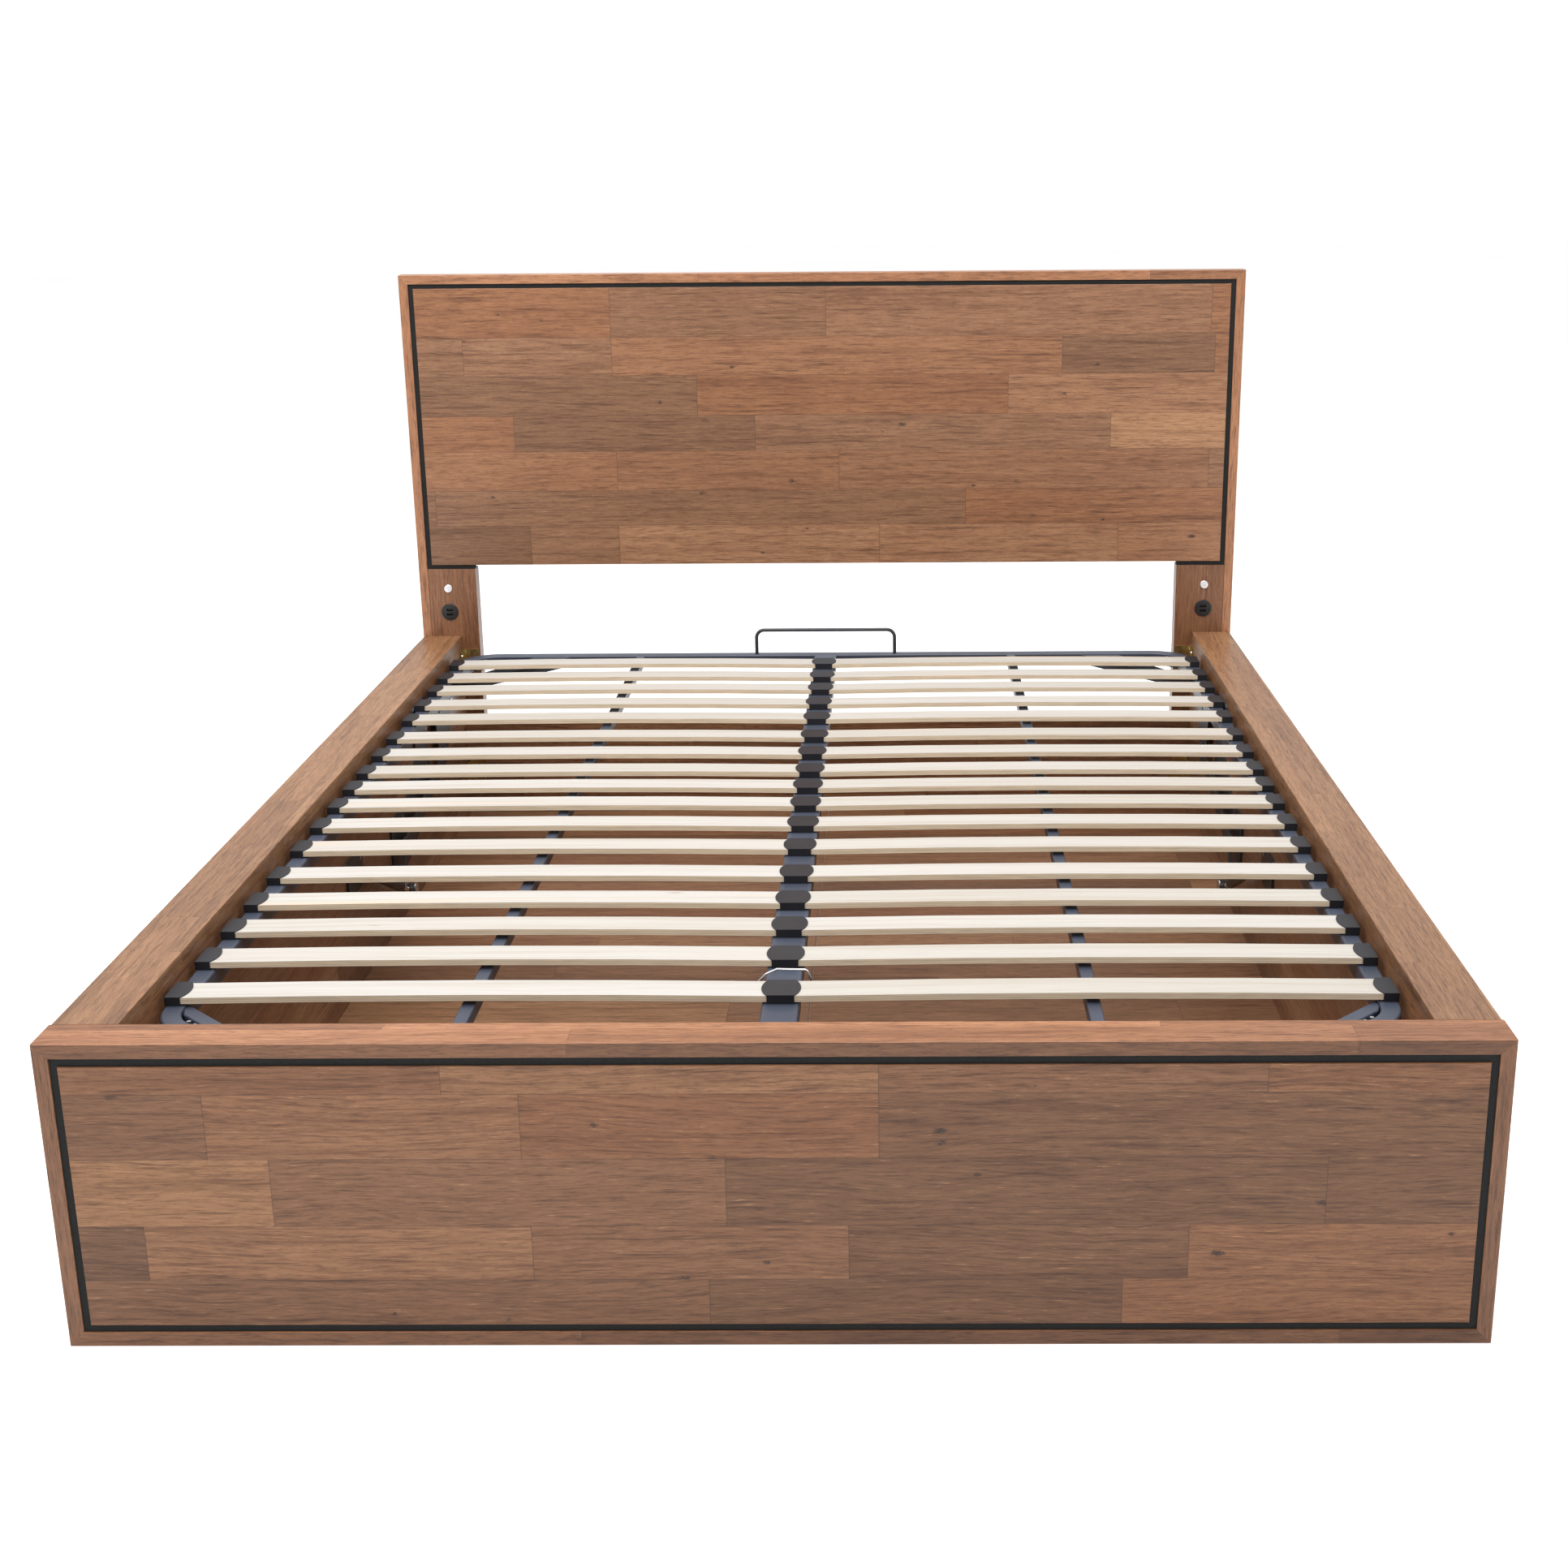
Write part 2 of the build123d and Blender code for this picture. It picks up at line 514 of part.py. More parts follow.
def bar(p, q, w):
    """Flat bar with round ends between two pins, in the current sketch."""
    with Locations(((p[0] + q[0]) / 2, (p[1] + q[1]) / 2)):
        SlotCenterToCenter(hypot(q[0] - p[0], q[1] - p[1]), w, rotation=degrees(atan2(q[1] - p[1], q[0] - p[0])))


BASE_SCREWS = [(1398, 196), (1470, 196), (1476, 116), (1560, 150), (1626, 232), (1688, 232), (1636, 345), (1690, 340)]
STRUT_SCREWS = [(1082, 222), (1158, 222), (1082, 182), (1158, 182)]
# base plates on the rails' inner boards
with BuildPart() as base_plates:
    for side in (-1, 1):
        with BuildSketch(side_plane(PLATE_X, side)) as base_sk:
            with BuildLine():
                Polyline((1378, 100), (1378, 212), (1500, 212), (1600, 262), (1612, 362), (1712, 362), (1712, 200), (1600, 128), (1500, 100), close=True)
            make_face()
            fillet(base_sk.vertices(), 12)
            for p in (A0, B0):
                with Locations(p):
                    Circle(PIN_R, mode=Mode.SUBTRACT)
            for p in BASE_SCREWS:
                with Locations(p):
                    Circle(4.6, mode=Mode.SUBTRACT)
        extrude(amount=depth(side, PLATE_X, RAIL_IN))
save(base_plates, "lift_base_plates")

# rear arms: flat bars, eye at each end
with BuildPart() as rear_arms:
    for side in (-1, 1):
        with BuildSketch(side_plane(ARM_X0, side)):
            bar(A0, A1, 30)
            with Locations(A0, A1):
                Circle(PIN_R + 0.05, mode=Mode.SUBTRACT)
        extrude(amount=depth(side, ARM_X0, ARM_X1))
    for face in (rear_arms.faces().filter_by(Axis.X).sort_by(Axis.X)[1], rear_arms.faces().filter_by(Axis.X).sort_by(Axis.X)[2]):
        chamfer(face.outer_wire().edges(), 0.7)
save(rear_arms, "rear_arms")

# front arms: bell cranks, long bar up to the platform and a short lug for the strut
with BuildPart() as front_arms:
    for side in (-1, 1):
        with BuildSketch(side_plane(FARM_X0, side)):
            bar(B0, B1, 32)
            bar(B0, S1, 28)
            with Locations(B0):
                Circle(21)
            with Locations(B0):
                Circle(PIN_R + 0.05, mode=Mode.SUBTRACT)
            with Locations(B1):
                Circle(PIN_R, mode=Mode.SUBTRACT)
            with Locations(S1):
                Circle(5.0, mode=Mode.SUBTRACT)
        extrude(amount=depth(side, FARM_X0, FARM_X1))
    for face in (front_arms.faces().filter_by(Axis.X).sort_by(Axis.X)[1], front_arms.faces().filter_by(Axis.X).sort_by(Axis.X)[2]):
        chamfer(face.outer_wire().edges(), 0.7)
save(front_arms, "front_arms")

# platform lift brackets: plate under each side tube, rear arm pin hole and oversize front arm hole
with BuildPart() as lift_brackets:
    for side in (-1, 1):
        with BuildSketch(side_plane(BRK_X0, side)) as br_sk:
            with BuildLine():
                Polyline((1700, TUBE_BOT), (1960, TUBE_BOT), (1960, 318), (1900, 292), (1826, 200), (1766, 200), (1744, 306), (1700, 318), close=True)
            make_face()
            fillet(br_sk.vertices().group_by(Axis.Y)[0], 14)
            with Locations(A1):
                Circle(PIN_R, mode=Mode.SUBTRACT)
            with Locations(B1):
                Circle(PIN_R + 2.6, mode=Mode.SUBTRACT)
        extrude(amount=depth(side, BRK_X0, BRK_X1))
        # flange welded under the tube
        a, b = sorted((side * 731.0, side * BRK_X1))
        block(a, b, 1700, 1960, TUBE_BOT - 4, TUBE_BOT)
save(lift_brackets, "platform_lift_brackets")

# pins on the base plates, with flat round heads; the front arm's pin carries a spacer
with BuildPart() as base_pins:
    for side in (-1, 1):
        for p, x0 in ((A0, ARM_X0), (B0, FARM_X0)):
            with BuildSketch(side_plane(x0 - 0.6, side)):
                with Locations(p):
                    Circle(PIN_R)
            extrude(amount=depth(side, x0 - 0.6, RAIL_IN))
            with BuildSketch(side_plane(x0 - 4.6, side)):
                with Locations(p):
                    Circle(10.0)
            extrude(amount=depth(side, 0, 4.0))
        with BuildSketch(side_plane(FARM_X1 + 0.5, side)):
            with Locations(B0):
                Circle(11.0)
        extrude(amount=depth(side, FARM_X1 + 0.5, PLATE_X))
save(base_pins, "lift_base_pins")

# countersunk screws, flush with the plates, hexagon sockets
with BuildPart() as base_plate_screws:
    for side in (-1, 1):
        with BuildSketch(side_plane(PLATE_X + 0.2, side)):
            with Locations(*BASE_SCREWS, *STRUT_SCREWS):
                Circle(4.6)
        extrude(amount=depth(side, PLATE_X + 0.2, RAIL_IN))
        with BuildSketch(side_plane(PLATE_X, side)):
            with Locations(*BASE_SCREWS, *STRUT_SCREWS):
                RegularPolygon(2.4, 6)
        extrude(amount=depth(side, 0, 2.2), mode=Mode.SUBTRACT)
save(base_plate_screws, "lift_base_screws")

with BuildPart() as bracket_pins:
    for side in (-1, 1):
        with BuildSketch(side_plane(BRK_X0, side)):
            with Locations(A1):
                Circle(PIN_R)
        extrude(amount=depth(side, BRK_X0, ARM_X1 + 0.4))
        with BuildSketch(side_plane(ARM_X1 + 0.4, side)):
            with Locations(A1):
                Circle(9.0)
        extrude(amount=depth(side, 0, 2.4))
        with BuildSketch(side_plane(BRK_X0 - 5.0, side)):
            with Locations(A1):
                RegularPolygon(10.0, 6)
        extrude(amount=depth(side, 0, 5.0))
save(bracket_pins, "platform_bracket_pins")

# pins fixed in the front arms: upper one into the platform bracket's wide hole, lower one for the strut
with BuildPart() as front_arm_pins:
    for side in (-1, 1):
        with BuildSketch(side_plane(FARM_X0, side)):
            with Locations(B1):
                Circle(PIN_R)
        extrude(amount=depth(side, FARM_X0, BRK_X1 + 0.2))
        with BuildSketch(side_plane(FARM_X0 - 3.5, side)):
            with Locations(B1):
                Circle(11.0)
        extrude(amount=depth(side, 0, 3.5))
        with BuildSketch(side_plane(STRUT_X - 7.6, side)):
            with Locations(S1):
                Circle(4.0)
        extrude(amount=depth(side, STRUT_X - 7.6, STRUT_X + 7.6))
        with BuildSketch(side_plane(STRUT_X + 7.6, side)):
            with Locations(S1):
                Circle(5.0)
        extrude(amount=depth(side, STRUT_X + 7.6, FARM_X1))
        for x in (STRUT_X - 10.1, STRUT_X + 7.6):
            with BuildSketch(side_plane(x, side)):
                with Locations(S1):
                    Circle(12.0)
            extrude(amount=depth(side, 0, 2.5))
save(front_arm_pins, "front_arm_pins")

# fixed-end strut brackets: plate on the rail with a shouldered stud
with BuildPart() as strut_mounts:
    for side in (-1, 1):
        with BuildSketch(side_plane(PLATE_X, side)):
            with Locations(S0):
                RectangleRounded(100, 64, 10)
            for p in STRUT_SCREWS:
                with Locations(p):
                    Circle(4.6, mode=Mode.SUBTRACT)
        extrude(amount=depth(side, PLATE_X, RAIL_IN))
        with BuildSketch(side_plane(STRUT_X - 7.0, side)):
            with Locations(S0):
                Circle(4.0)
        extrude(amount=depth(side, STRUT_X - 7.0, PLATE_X))
        with BuildSketch(side_plane(STRUT_X + 6.6, side)):
            with Locations(S0):
                Circle(9.0)
        extrude(amount=depth(side, STRUT_X + 6.6, PLATE_X))
        with BuildSketch(side_plane(STRUT_X - 9.6, side)):
            with Locations(S0):
                Circle(7.5)
        extrude(amount=depth(side, 0, 3.0))
save(strut_mounts, "strut_mount_brackets")

# gas struts: black cylinder with an eye on the fixed stud, bright rod with an eye on the crank pin
# (the rod eye's wide hole sits loosely round the crank pin)
SL = STRUT_LEN
SA = radians(STRUT_ANG)
E1 = (S0[0] + SL * cos(SA), S0[1] + SL * sin(SA))
sd = (0.0, cos(SA), sin(SA))
CYL_A, CYL_B = 22.0, 204.0


def strut_plane(side, t):
    """Plane across the strut axis at distance t from the fixed-end pin."""
    return Plane(origin=(side * STRUT_X, Y(S0[0] + t * cos(SA)), S0[1] + t * sin(SA)), x_dir=(1, 0, 0), z_dir=sd)


with BuildPart() as strut_cylinders:
    for side in (-1, 1):
        with BuildSketch(strut_plane(side, CYL_A)):
            Circle(STRUT_R)
        extrude(amount=CYL_B - CYL_A)
    fillet(strut_cylinders.edges().filter_by(GeomType.CIRCLE), 1.5)
    for side in (-1, 1):
        with BuildSketch(strut_plane(side, CYL_B)):
            Circle(ROD_R + 0.05)
        extrude(amount=-(CYL_B - CYL_A - 6.0), mode=Mode.SUBTRACT)
save(strut_cylinders, "gas_strut_cylinders")

with BuildPart() as strut_fixed_eyes:
    for side in (-1, 1):
        with BuildSketch(side_plane(STRUT_X - 6.0, side)):
            with Locations(S0):
                Circle(10.0)
        extrude(amount=depth(side, 0, 12.0))
        with BuildSketch(strut_plane(side, 6.0)):
            Circle(5.5)
        extrude(amount=CYL_A - 6.0)
        with BuildSketch(side_plane(STRUT_X - 6.0, side)):
            with Locations(S0):
                Circle(4.05)
        extrude(amount=depth(side, 0, 12.0), mode=Mode.SUBTRACT)
save(strut_fixed_eyes, "gas_strut_fixed_eyes")

EYE_HOLE = 8.0
with BuildPart() as strut_rods:
    for side in (-1, 1):
        with BuildSketch(strut_plane(side, SL - 11.0)):
            Circle(ROD_R)
        extrude(amount=-(SL - 11.0 - CYL_A - 14.0))
save(strut_rods, "gas_strut_rods")

with BuildPart() as strut_rod_eyes:
    for side in (-1, 1):
        with BuildSketch(strut_plane(side, SL - 34.0)):
            Circle(6.4)
        extrude(amount=24.5)
        with BuildSketch(strut_plane(side, SL - 35.0)):
            Circle(ROD_R)
        extrude(amount=24.0, mode=Mode.SUBTRACT)
        with BuildSketch(side_plane(STRUT_X - 7.0, side)):
            with Locations(E1):
                Circle(13.0)
        extrude(amount=depth(side, 0, 14.0))
        with BuildSketch(side_plane(STRUT_X - 8.0, side)):
            with Locations(E1):
                Circle(EYE_HOLE)
        extrude(amount=depth(side, 0, 16.0), mode=Mode.SUBTRACT)
        # rod end seats in the ring
        with BuildSketch(strut_plane(side, SL - 20.0)):
            Circle(ROD_R)
        extrude(amount=9.0, mode=Mode.SUBTRACT)
save(strut_rod_eyes, "gas_strut_rod_eyes")
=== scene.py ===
import math

import bmesh
import bpy
from mathutils import Matrix, Vector

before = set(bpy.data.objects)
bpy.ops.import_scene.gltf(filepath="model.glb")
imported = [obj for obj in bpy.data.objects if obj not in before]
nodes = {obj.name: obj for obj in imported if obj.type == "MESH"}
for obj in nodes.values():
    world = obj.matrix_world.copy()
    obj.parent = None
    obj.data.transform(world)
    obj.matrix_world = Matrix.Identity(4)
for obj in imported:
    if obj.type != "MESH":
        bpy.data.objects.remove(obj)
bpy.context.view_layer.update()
YO = -1.0725


# ------------------------------------------------------------------ node helper
class Mat:
    """A principled material and short calls that add nodes to it."""

    def __init__(self, name):
        self.m = bpy.data.materials.new(name)
        self.m.use_nodes = True
        self.t = self.m.node_tree
        self.t.nodes.clear()
        out = self.t.nodes.new("ShaderNodeOutputMaterial")
        self.b = self.t.nodes.new("ShaderNodeBsdfPrincipled")
        self.t.links.new(self.b.outputs[0], out.inputs[0])
        tc = self.t.nodes.new("ShaderNodeTexCoord")
        self.obj = tc.outputs["Object"]
        self.nrm = tc.outputs["Normal"]

    def put(self, socket, v):
        if isinstance(v, bpy.types.NodeSocket):
            self.t.links.new(v, socket)
        else:
            socket.default_value = v

    def set(self, **kw):
        for k, v in kw.items():
            self.put(self.b.inputs[k.replace("_", " ")], v)

    def math(self, op, a, b=None, c=None, clamp=False):
        n = self.t.nodes.new("ShaderNodeMath")
        n.operation = op
        n.use_clamp = clamp
        self.put(n.inputs[0], a)
        if b is not None:
            self.put(n.inputs[1], b)
        if c is not None:
            self.put(n.inputs[2], c)
        return n.outputs[0]

    def add(self, a, b):
        return self.math("ADD", a, b)

    def mul(self, a, b):
        return self.math("MULTIPLY", a, b)

    def gt(self, a, b):
        return self.math("GREATER_THAN", a, b)

    def sep(self, v):
        n = self.t.nodes.new("ShaderNodeSeparateXYZ")
        self.put(n.inputs[0], v)
        return n.outputs[0], n.outputs[1], n.outputs[2]

    def comb(self, x, y, z):
        n = self.t.nodes.new("ShaderNodeCombineXYZ")
        for i, v in enumerate((x, y, z)):
            self.put(n.inputs[i], v)
        return n.outputs[0]

    def noise(self, vec, scale=1.0, detail=3.0, rough=0.5, dist=0.0):
        n = self.t.nodes.new("ShaderNodeTexNoise")
        self.put(n.inputs["Vector"], vec)
        n.inputs["Scale"].default_value = scale
        n.inputs["Detail"].default_value = detail
        n.inputs["Roughness"].default_value = rough
        n.inputs["Distortion"].default_value = dist
        return n.outputs[0]

    def voronoi(self, vec, scale=1.0):
        n = self.t.nodes.new("ShaderNodeTexVoronoi")
        self.put(n.inputs["Vector"], vec)
        n.inputs["Scale"].default_value = scale
        return n.outputs["Distance"], n.outputs["Color"]

    def white(self, w):
        n = self.t.nodes.new("ShaderNodeTexWhiteNoise")
        n.noise_dimensions = "1D"
        self.put(n.inputs["W"], w)
        return n.outputs["Value"], n.outputs["Color"]

    def ramp(self, fac, stops, interp="LINEAR"):
        n = self.t.nodes.new("ShaderNodeValToRGB")
        self.put(n.inputs[0], fac)
        r = n.color_ramp
        r.interpolation = interp
        while len(r.elements) < len(stops):
            r.elements.new(0.5)
        for e, (p, c) in zip(r.elements, stops):
            e.position = p
            e.color = (*c, 1.0) if isinstance(c, tuple) else (c, c, c, 1.0)
        return n.outputs[0]

    def rng(self, v, a, b, c, d, smooth=True):
        n = self.t.nodes.new("ShaderNodeMapRange")
        n.interpolation_type = "SMOOTHSTEP" if smooth else "LINEAR"
        self.put(n.inputs[0], v)
        for i, x in enumerate((a, b, c, d)):
            n.inputs[i + 1].default_value = x
        return n.outputs[0]

    def mix(self, fac, a, b, blend="MIX"):
        n = self.t.nodes.new("ShaderNodeMix")
        n.data_type = "RGBA"
        n.blend_type = blend
        self.put(n.inputs[0], fac)
        for i, v in ((6, a), (7, b)):
            if isinstance(v, tuple):
                v = (*v, 1.0)
            self.put(n.inputs[i], v)
        return n.outputs[2]

    def bump(self, h, strength=0.2, dist=0.001):
        n = self.t.nodes.new("ShaderNodeBump")
        n.inputs["Strength"].default_value = strength
        n.inputs["Distance"].default_value = dist
        self.put(n.inputs["Height"], h)
        self.put(self.b.inputs["Normal"], n.outputs[0])


def s2l(r, g, b, k=1.0):
    """Display colour 0-255 to linear, scaled by k."""
    out = []
    for v in (r, g, b):
        v = v / 255
        v = v / 12.92 if v <= 0.04045 else ((v + 0.055) / 1.055) ** 2.4
        out.append(v * k)
    return tuple(out)


K = 1.06   # surface colour for a display colour under this light, before grain darkens it

PANEL_TONES = [(0.00, s2l(125, 91, 65, K)), (0.20, s2l(135, 98, 71, K)), (0.42, s2l(146, 108, 80, K)),
               (0.58, s2l(146, 101, 69, K)), (0.80, s2l(160, 119, 88, K)), (1.00, s2l(170, 129, 94, K))]
FRAME_TONES = [(0.00, s2l(142, 98, 68, K)), (0.35, s2l(154, 108, 76, K)), (0.70, s2l(162, 114, 81, K)), (1.00, s2l(172, 124, 90, K))]
RAIL_TONES = [(p, tuple(v * f for v, f in zip(c, (0.82, 0.92, 0.90)))) for p, c in FRAME_TONES]
# painted shade: the foot panel takes the headboard panel tones darkened, for the dimmer light on the footboard front
FOOT_SHADED_TONES = [(p, tuple(v * f for v, f in zip(c, (0.74, 0.69, 0.63)))) for p, c in PANEL_TONES]
LEG_TONES = [(p, tuple(v * f for v, f in zip(c, (0.72, 0.70, 0.66)))) for p, c in FRAME_TONES]


# ------------------------------------------------------------------ wood
def wood(name, u_axis, v_axis, tones, rows=None, pitch=0.075, length=0.62, seed=0.0,
         flecks=1.0, seam=0.62, rough=0.36, grain=1.0, figure=0.03, coat=0.0, front_painted_shade=0.0, spec=0.34):
    """Laminated timber. Grain runs along u_axis; staves are stacked along v_axis.
    rows: explicit [(low v, high v, [joint u, ...]), ...]; otherwise even rows with staggered joints."""
    k = Mat(name)
    xyz = dict(zip("XYZ", k.sep(k.obj)))
    u, v = xyz[u_axis], xyz[v_axis]
    w = xyz[[a for a in "XYZ" if a not in (u_axis, v_axis)][0]]
    if rows:
        gs = [k.gt(v, z0) for z0, z1, js in rows[1:]]
        row = gs[0]
        for g in gs[1:]:
            row = k.add(row, g)
        col, seams = None, None
        for i, (z0, z1, js) in enumerate(rows):
            mask = k.gt(v, z0)
            if i + 1 < len(rows):
                mask = k.math("SUBTRACT", mask, gs[i])
            for j in js:
                term = k.mul(mask, k.gt(u, j))
                col = term if col is None else k.add(col, term)
                line = k.mul(mask, k.math("COMPARE", u, j, 0.00075))
                seams = line if seams is None else k.add(seams, line)
            if i:
                seams = k.add(seams, k.math("COMPARE", v, z0, 0.00055)) if seams is not None else k.math("COMPARE", v, z0, 0.00055)
    else:
        rv = k.add(k.mul(v, 1 / pitch), 100.37)
        row = k.math("FLOOR", rv)
        off, _ = k.white(k.add(row, seed + 3.3))
        cu = k.add(k.mul(u, 1 / length), k.add(k.mul(off, 7.31), 50.0))
        col = k.math("FLOOR", cu)
        fr, fc = k.math("FRACT", rv), k.math("FRACT", cu)
        seams = k.add(k.math("LESS_THAN", fr, 0.0011 / pitch), k.math("LESS_THAN", fc, 0.0014 / length))
    sid = k.add(k.add(k.mul(row, 11.37), k.mul(col, 3.19)), seed)
    r0, rc = k.white(sid)
    ra, rb, rd = k.sep(rc)
    up = k.add(u, k.mul(ra, 7.0))
    vp = k.add(v, k.mul(rb, 3.0))
    wp = k.add(w, k.mul(rd, 2.0))
    warp = k.noise(k.comb(k.mul(up, 1.6), k.mul(vp, 7.0), k.mul(wp, 7.0)), 1.0, 3.0, 0.55)
    vw = k.add(vp, k.mul(k.math("SUBTRACT", warp, 0.5), figure))
    broad = k.noise(k.comb(k.mul(up, 1.8), k.mul(vw, 58.0), k.mul(wp, 34.0)), 1.0, 4.0, 0.6)
    mid = k.noise(k.comb(k.mul(up, 8.5), k.mul(vw, 215.0), k.mul(wp, 150.0)), 1.0, 4.0, 0.66)
    fine = k.noise(k.comb(k.mul(up, 34.0), k.mul(vw, 500.0), k.mul(wp, 430.0)), 1.0, 3.0, 0.66)
    pore = k.noise(k.comb(k.mul(up, 95.0), k.mul(vw, 820.0), k.mul(wp, 760.0)), 1.0, 2.0, 0.6)
    cloud = k.noise(k.comb(k.mul(up, 3.0), k.mul(vp, 14.0), k.mul(wp, 9.0)), 1.0, 3.0, 0.5)
    base = k.ramp(r0, tones)
    g = grain * 1.2
    base = k.mix(1.0, base, k.ramp(broad, [(0.28, (1 - 0.28 * g, 1 - 0.33 * g, 1 - 0.36 * g)), (0.48, (0.95, 0.94, 0.93)), (0.72, (1.0, 1.0, 1.0))]), "MULTIPLY")
    base = k.mix(1.0, base, k.ramp(mid, [(0.30, (1 - 0.44 * g, 1 - 0.50 * g, 1 - 0.54 * g)), (0.47, (0.90, 0.88, 0.86)), (0.68, (1.0, 1.0, 1.0))]), "MULTIPLY")
    base = k.mix(1.0, base, k.ramp(fine, [(0.30, (1 - 0.42 * g, 1 - 0.47 * g, 1 - 0.50 * g)), (0.50, (0.92, 0.91, 0.90)), (0.68, (1.0, 1.0, 1.0))]), "MULTIPLY")
    base = k.mix(1.0, base, k.ramp(cloud, [(0.3, (0.90, 0.86, 0.84)), (0.7, (1.0, 1.0, 1.0))]), "MULTIPLY")
    # pale flecks where the grain opens
    pale = k.mul(k.rng(fine, 0.62, 0.76, 0.0, 1.0), 0.26)
    base = k.mix(pale, base, s2l(205, 160, 122, K))
    # gum veins: thin dark lines in some staves only
    vein = k.noise(k.comb(k.mul(up, 5.5), k.mul(vw, 175.0), k.mul(wp, 60.0)), 1.0, 5.0, 0.70)
    some = k.rng(rd, 0.25, 0.75, 0.15, 1.0)
    vein = k.mul(k.mul(k.rng(vein, 0.585, 0.66, 0.0, 1.0), some), 0.70 * flecks)
    base = k.mix(vein, base, s2l(62, 36, 25, K))
    # pores: short dark dashes
    pm = k.mul(k.rng(pore, 0.57, 0.68, 0.0, 1.0), 0.42)
    base = k.mix(pm, base, s2l(72, 44, 30, K))
    # knots and insect marks: small black spots, upright, scattered in groups
    d, cc = k.voronoi(k.comb(k.mul(up, 11.0), k.mul(vp, 22.0), 0.0), 1.0)
    cr, cg, cb = k.sep(cc)
    grp = k.rng(k.noise(k.comb(k.mul(up, 2.2), k.mul(vp, 9.0), 0.0), 1.0, 1.0), 0.52, 0.60, 0.0, 1.0)
    rag = k.noise(k.comb(k.mul(up, 240.0), k.mul(vp, 380.0), 0.0), 1.0, 2.0)
    edge = k.add(d, k.mul(k.math("SUBTRACT", rag, 0.5), 0.16))
    spot = k.mul(k.mul(k.rng(edge, 0.04, 0.125, 1.0, 0.0), k.gt(cr, 0.35)), grp)
    base = k.mix(k.mul(spot, 0.85 * flecks), base, s2l(30, 20, 17, K))
    d2, cc2 = k.voronoi(k.comb(k.mul(up, 22.0), k.mul(vp, 38.0), 2.3), 1.0)
    c2, _, _ = k.sep(cc2)
    mark = k.mul(k.mul(k.rng(k.add(d2, k.mul(k.math("SUBTRACT", rag, 0.5), 0.22)), 0.05, 0.14, 1.0, 0.0), k.gt(c2, 0.87)), 0.8 * flecks)
    base = k.mix(mark, base, s2l(40, 27, 22, K))
    base = k.mix(k.mul(seams, 1.0 - seam), base, s2l(50, 30, 21, K))
    # painted shade: faces turned to -Y (the board fronts) are darkened, standing in for the dimmer light they get from
    # above
    if front_painted_shade:
        nx, ny, nz = k.sep(k.nrm)
        front = k.rng(k.math("MULTIPLY", ny, -1.0), 0.6, 0.9, 0.0, 1.0)
        base = k.mix(k.mul(front, front_painted_shade), base, k.mix(1.0, base, (0.34, 0.31, 0.26), "MULTIPLY"))
    k.set(Base_Color=base)
    k.b.inputs["Specular IOR Level"].default_value = spec
    k.put(k.b.inputs["Roughness"], k.rng(k.add(k.mul(fine, 0.6), k.mul(broad, 0.4)), 0.2, 0.8, rough + 0.10, rough - 0.05, False))
    k.b.inputs["Specular IOR Level"].default_value = 0.42
    if coat:
        k.b.inputs["Coat Weight"].default_value = coat
        k.b.inputs["Coat Roughness"].default_value = 0.28
    h = k.add(k.add(k.mul(mid, 0.5), k.mul(fine, 0.5)), k.add(k.mul(pm, -1.2), k.add(k.mul(seams, -0.8), k.mul(spot, -1.0))))
    k.bump(h, 0.22, 0.0005)
    return k.m


HEAD_ROWS = [(0.540, 0.621, [-0.608, -0.425, 0.113, 0.605]),
             (0.621, 0.693, [-0.800, 0.290]),
             (0.693, 0.773, [-0.423, 0.031, 0.786]),
             (0.773, 0.845, [-0.630, -0.139, 0.584]),
             (0.845, 0.925, [-0.255, 0.375]),
             (0.925, 1.001, [-0.725, -0.425, 0.483, 0.790]),
             (1.001, 1.100, [-0.425, 0.008, 0.780])]
FOOT_ROWS = [(0.028, 0.088, [-0.080, 0.406]),
             (0.088, 0.159, [-0.740, -0.286, 0.085, 0.482]),
             (0.159, 0.245, [-0.586, -0.057, 0.639]),
             (0.245, 0.327, [-0.656, -0.292, 0.121]),
             (0.327, 0.363, [-0.380, 0.121, 0.565])]

mats = {}
mats["head_panel"] = wood("head_panel_staves", "X", "Z", PANEL_TONES, rows=HEAD_ROWS, seed=4.0, figure=0.022, coat=0.10)
mats["foot_panel"] = wood("foot_panel_staves_painted_shade", "X", "Z", FOOT_SHADED_TONES, rows=FOOT_ROWS, seed=23.0, figure=0.05, coat=0.0, spec=0.03, rough=0.5)
mats["frame_x"] = wood("frame_board_across", "X", "Y", FRAME_TONES, pitch=0.11, length=0.9, seed=7.0, flecks=0.35, figure=0.05, coat=0.12, seam=0.8)
mats["foot_x"] = wood("foot_board_across_painted_front_shade", "X", "Y", FRAME_TONES, pitch=0.11, length=0.9, seed=9.0, flecks=0.35, figure=0.05, coat=0.0, seam=0.8, front_painted_shade=0.72, spec=0.03)
mats["foot_z"] = wood("foot_board_upright_painted_front_shade", "Z", "Y", FRAME_TONES, pitch=0.11, length=1.6, seed=14.0, flecks=0.35, figure=0.05, coat=0.0, seam=0.8, front_painted_shade=0.72, spec=0.03)
mats["frame_z"] = wood("frame_board_upright", "Z", "Y", FRAME_TONES, pitch=0.11, length=1.6, seed=12.0, flecks=0.35, figure=0.05, coat=0.12, seam=0.8)
mats["leg"] = wood("leg_board", "Z", "X", LEG_TONES, pitch=0.30, length=1.6, seed=31.0, flecks=0.4, figure=0.06, coat=0.12, seam=0.9)
